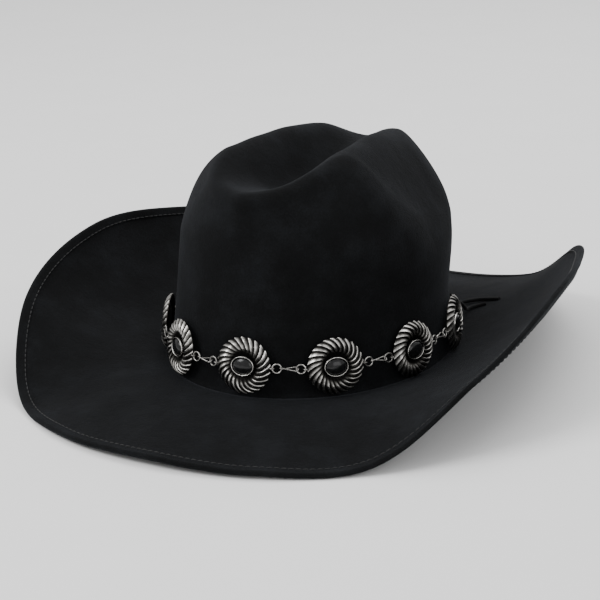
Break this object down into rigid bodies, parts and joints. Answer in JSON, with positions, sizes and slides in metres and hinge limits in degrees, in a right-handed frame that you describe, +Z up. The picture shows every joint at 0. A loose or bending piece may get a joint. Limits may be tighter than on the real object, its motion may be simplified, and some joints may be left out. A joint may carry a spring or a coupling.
{
  "type": "western hat with concho chain band",
  "caption": "Creased felt western hat with a wired brim curled up at the sides and a lift-off chain hat band of rocking oval-stone conchos.",
  "frame": {"origin": "under the middle of the hat, on the surface it stands on", "axes": "+Z up; the front of the hat faces -Y; the wearer's left is +X"},
  "size_m": [0.3508, 0.3969, 0.147],
  "materials": {
    "felt": "brushed suede felt, black",
    "lining": "black satin",
    "sweatband": "black grosgrain-faced band",
    "ribbon": "black ribbon",
    "thread": "black thread",
    "wire": "drawn spring wire",
    "antique_silver": "antique silver with black patina in the grooves",
    "stone": "polished black",
    "lace": "black suede lace"
  },
  "bodies": {
    "hat": {"brim": "felt", "brim_hem": "felt", "brim_wire": "wire", "hem_stitching": "thread", "crown_shell": "felt", "crown_lining": "lining", "sweatband": "sweatband", "sweatband_reed": "sweatband", "sweatband_bow": "ribbon"},
    "hat_band": {"jump_rings": "antique_silver", "chain_link_01": "antique_silver", "chain_link_02": "antique_silver", "chain_link_03": "antique_silver", "chain_link_04": "antique_silver", "chain_link_05": "antique_silver", "chain_link_06": "antique_silver", "chain_link_07": "antique_silver", "chain_link_08": "antique_silver", "chain_link_09": "antique_silver", "tie_lace_front": "lace", "tie_lace_rear": "lace", "tie_knot": "lace", "lace_tail_long": "lace", "lace_tail_short": "lace"},
    "concho_plate_01": {"concho_01": "antique_silver", "cabochon_01": "stone"},
    "concho_plate_02": {"concho_02": "antique_silver", "cabochon_02": "stone"},
    "concho_plate_03": {"concho_03": "antique_silver", "cabochon_03": "stone"},
    "concho_plate_04": {"concho_04": "antique_silver", "cabochon_04": "stone"},
    "concho_plate_05": {"concho_05": "antique_silver", "cabochon_05": "stone"},
    "concho_plate_06": {"concho_06": "antique_silver", "cabochon_06": "stone"},
    "concho_plate_07": {"concho_07": "antique_silver", "cabochon_07": "stone"},
    "concho_plate_08": {"concho_08": "antique_silver", "cabochon_08": "stone"},
    "concho_plate_09": {"concho_09": "antique_silver", "cabochon_09": "stone"},
    "concho_plate_10": {"concho_10": "antique_silver", "cabochon_10": "stone"}
  },
  "joints": [
    {"name": "hat_band_lift", "type": "slide", "parent": "hat", "child": "hat_band", "axis": [0, 0, 1], "range_m": [0, 0.16]},
    {"name": "concho_01_rock", "type": "hinge", "parent": "hat_band", "child": "concho_plate_01", "pos_m": [0.02463, 0.09858, 0.03088], "axis": [-0.9534, 0.3016, 0], "range_deg": [-8, 0]},
    {"name": "concho_02_rock", "type": "hinge", "parent": "hat_band", "child": "concho_plate_02", "pos_m": [-0.03083, 0.09635, 0.03082], "axis": [-0.9268, -0.3755, 0], "range_deg": [-8, 0]},
    {"name": "concho_03_rock", "type": "hinge", "parent": "hat_band", "child": "concho_plate_03", "pos_m": [-0.07343, 0.06048, 0.02996], "axis": [-0.5452, -0.8383, 0], "range_deg": [-8, 0]},
    {"name": "concho_04_rock", "type": "hinge", "parent": "hat_band", "child": "concho_plate_04", "pos_m": [-0.09077, 0.00732, 0.02941], "axis": [-0.0636, -0.998, 0], "range_deg": [-8, 0]},
    {"name": "concho_05_rock", "type": "hinge", "parent": "hat_band", "child": "concho_plate_05", "pos_m": [-0.0805, -0.04776, 0.02975], "axis": [0.4243, -0.9055, 0], "range_deg": [-8, 0]},
    {"name": "concho_06_rock", "type": "hinge", "parent": "hat_band", "child": "concho_plate_06", "pos_m": [-0.0437, -0.08982, 0.03063], "axis": [0.8514, -0.5245, 0], "range_deg": [-8, 0]},
    {"name": "concho_07_rock", "type": "hinge", "parent": "hat_band", "child": "concho_plate_07", "pos_m": [0.01046, -0.10172, 0.03098], "axis": [0.9916, 0.1291, 0], "range_deg": [-8, 0]},
    {"name": "concho_08_rock", "type": "hinge", "parent": "hat_band", "child": "concho_plate_08", "pos_m": [0.06018, -0.07681, 0.0303], "axis": [0.7099, 0.7043, 0], "range_deg": [-8, 0]},
    {"name": "concho_09_rock", "type": "hinge", "parent": "hat_band", "child": "concho_plate_09", "pos_m": [0.08752, -0.02805, 0.02952], "axis": [0.2454, 0.9694, 0], "range_deg": [-8, 0]},
    {"name": "concho_10_rock", "type": "hinge", "parent": "hat_band", "child": "concho_plate_10", "pos_m": [0.08752, 0.02805, 0.02952], "axis": [-0.2454, 0.9694, 0], "range_deg": [-8, 0]}
  ]
}
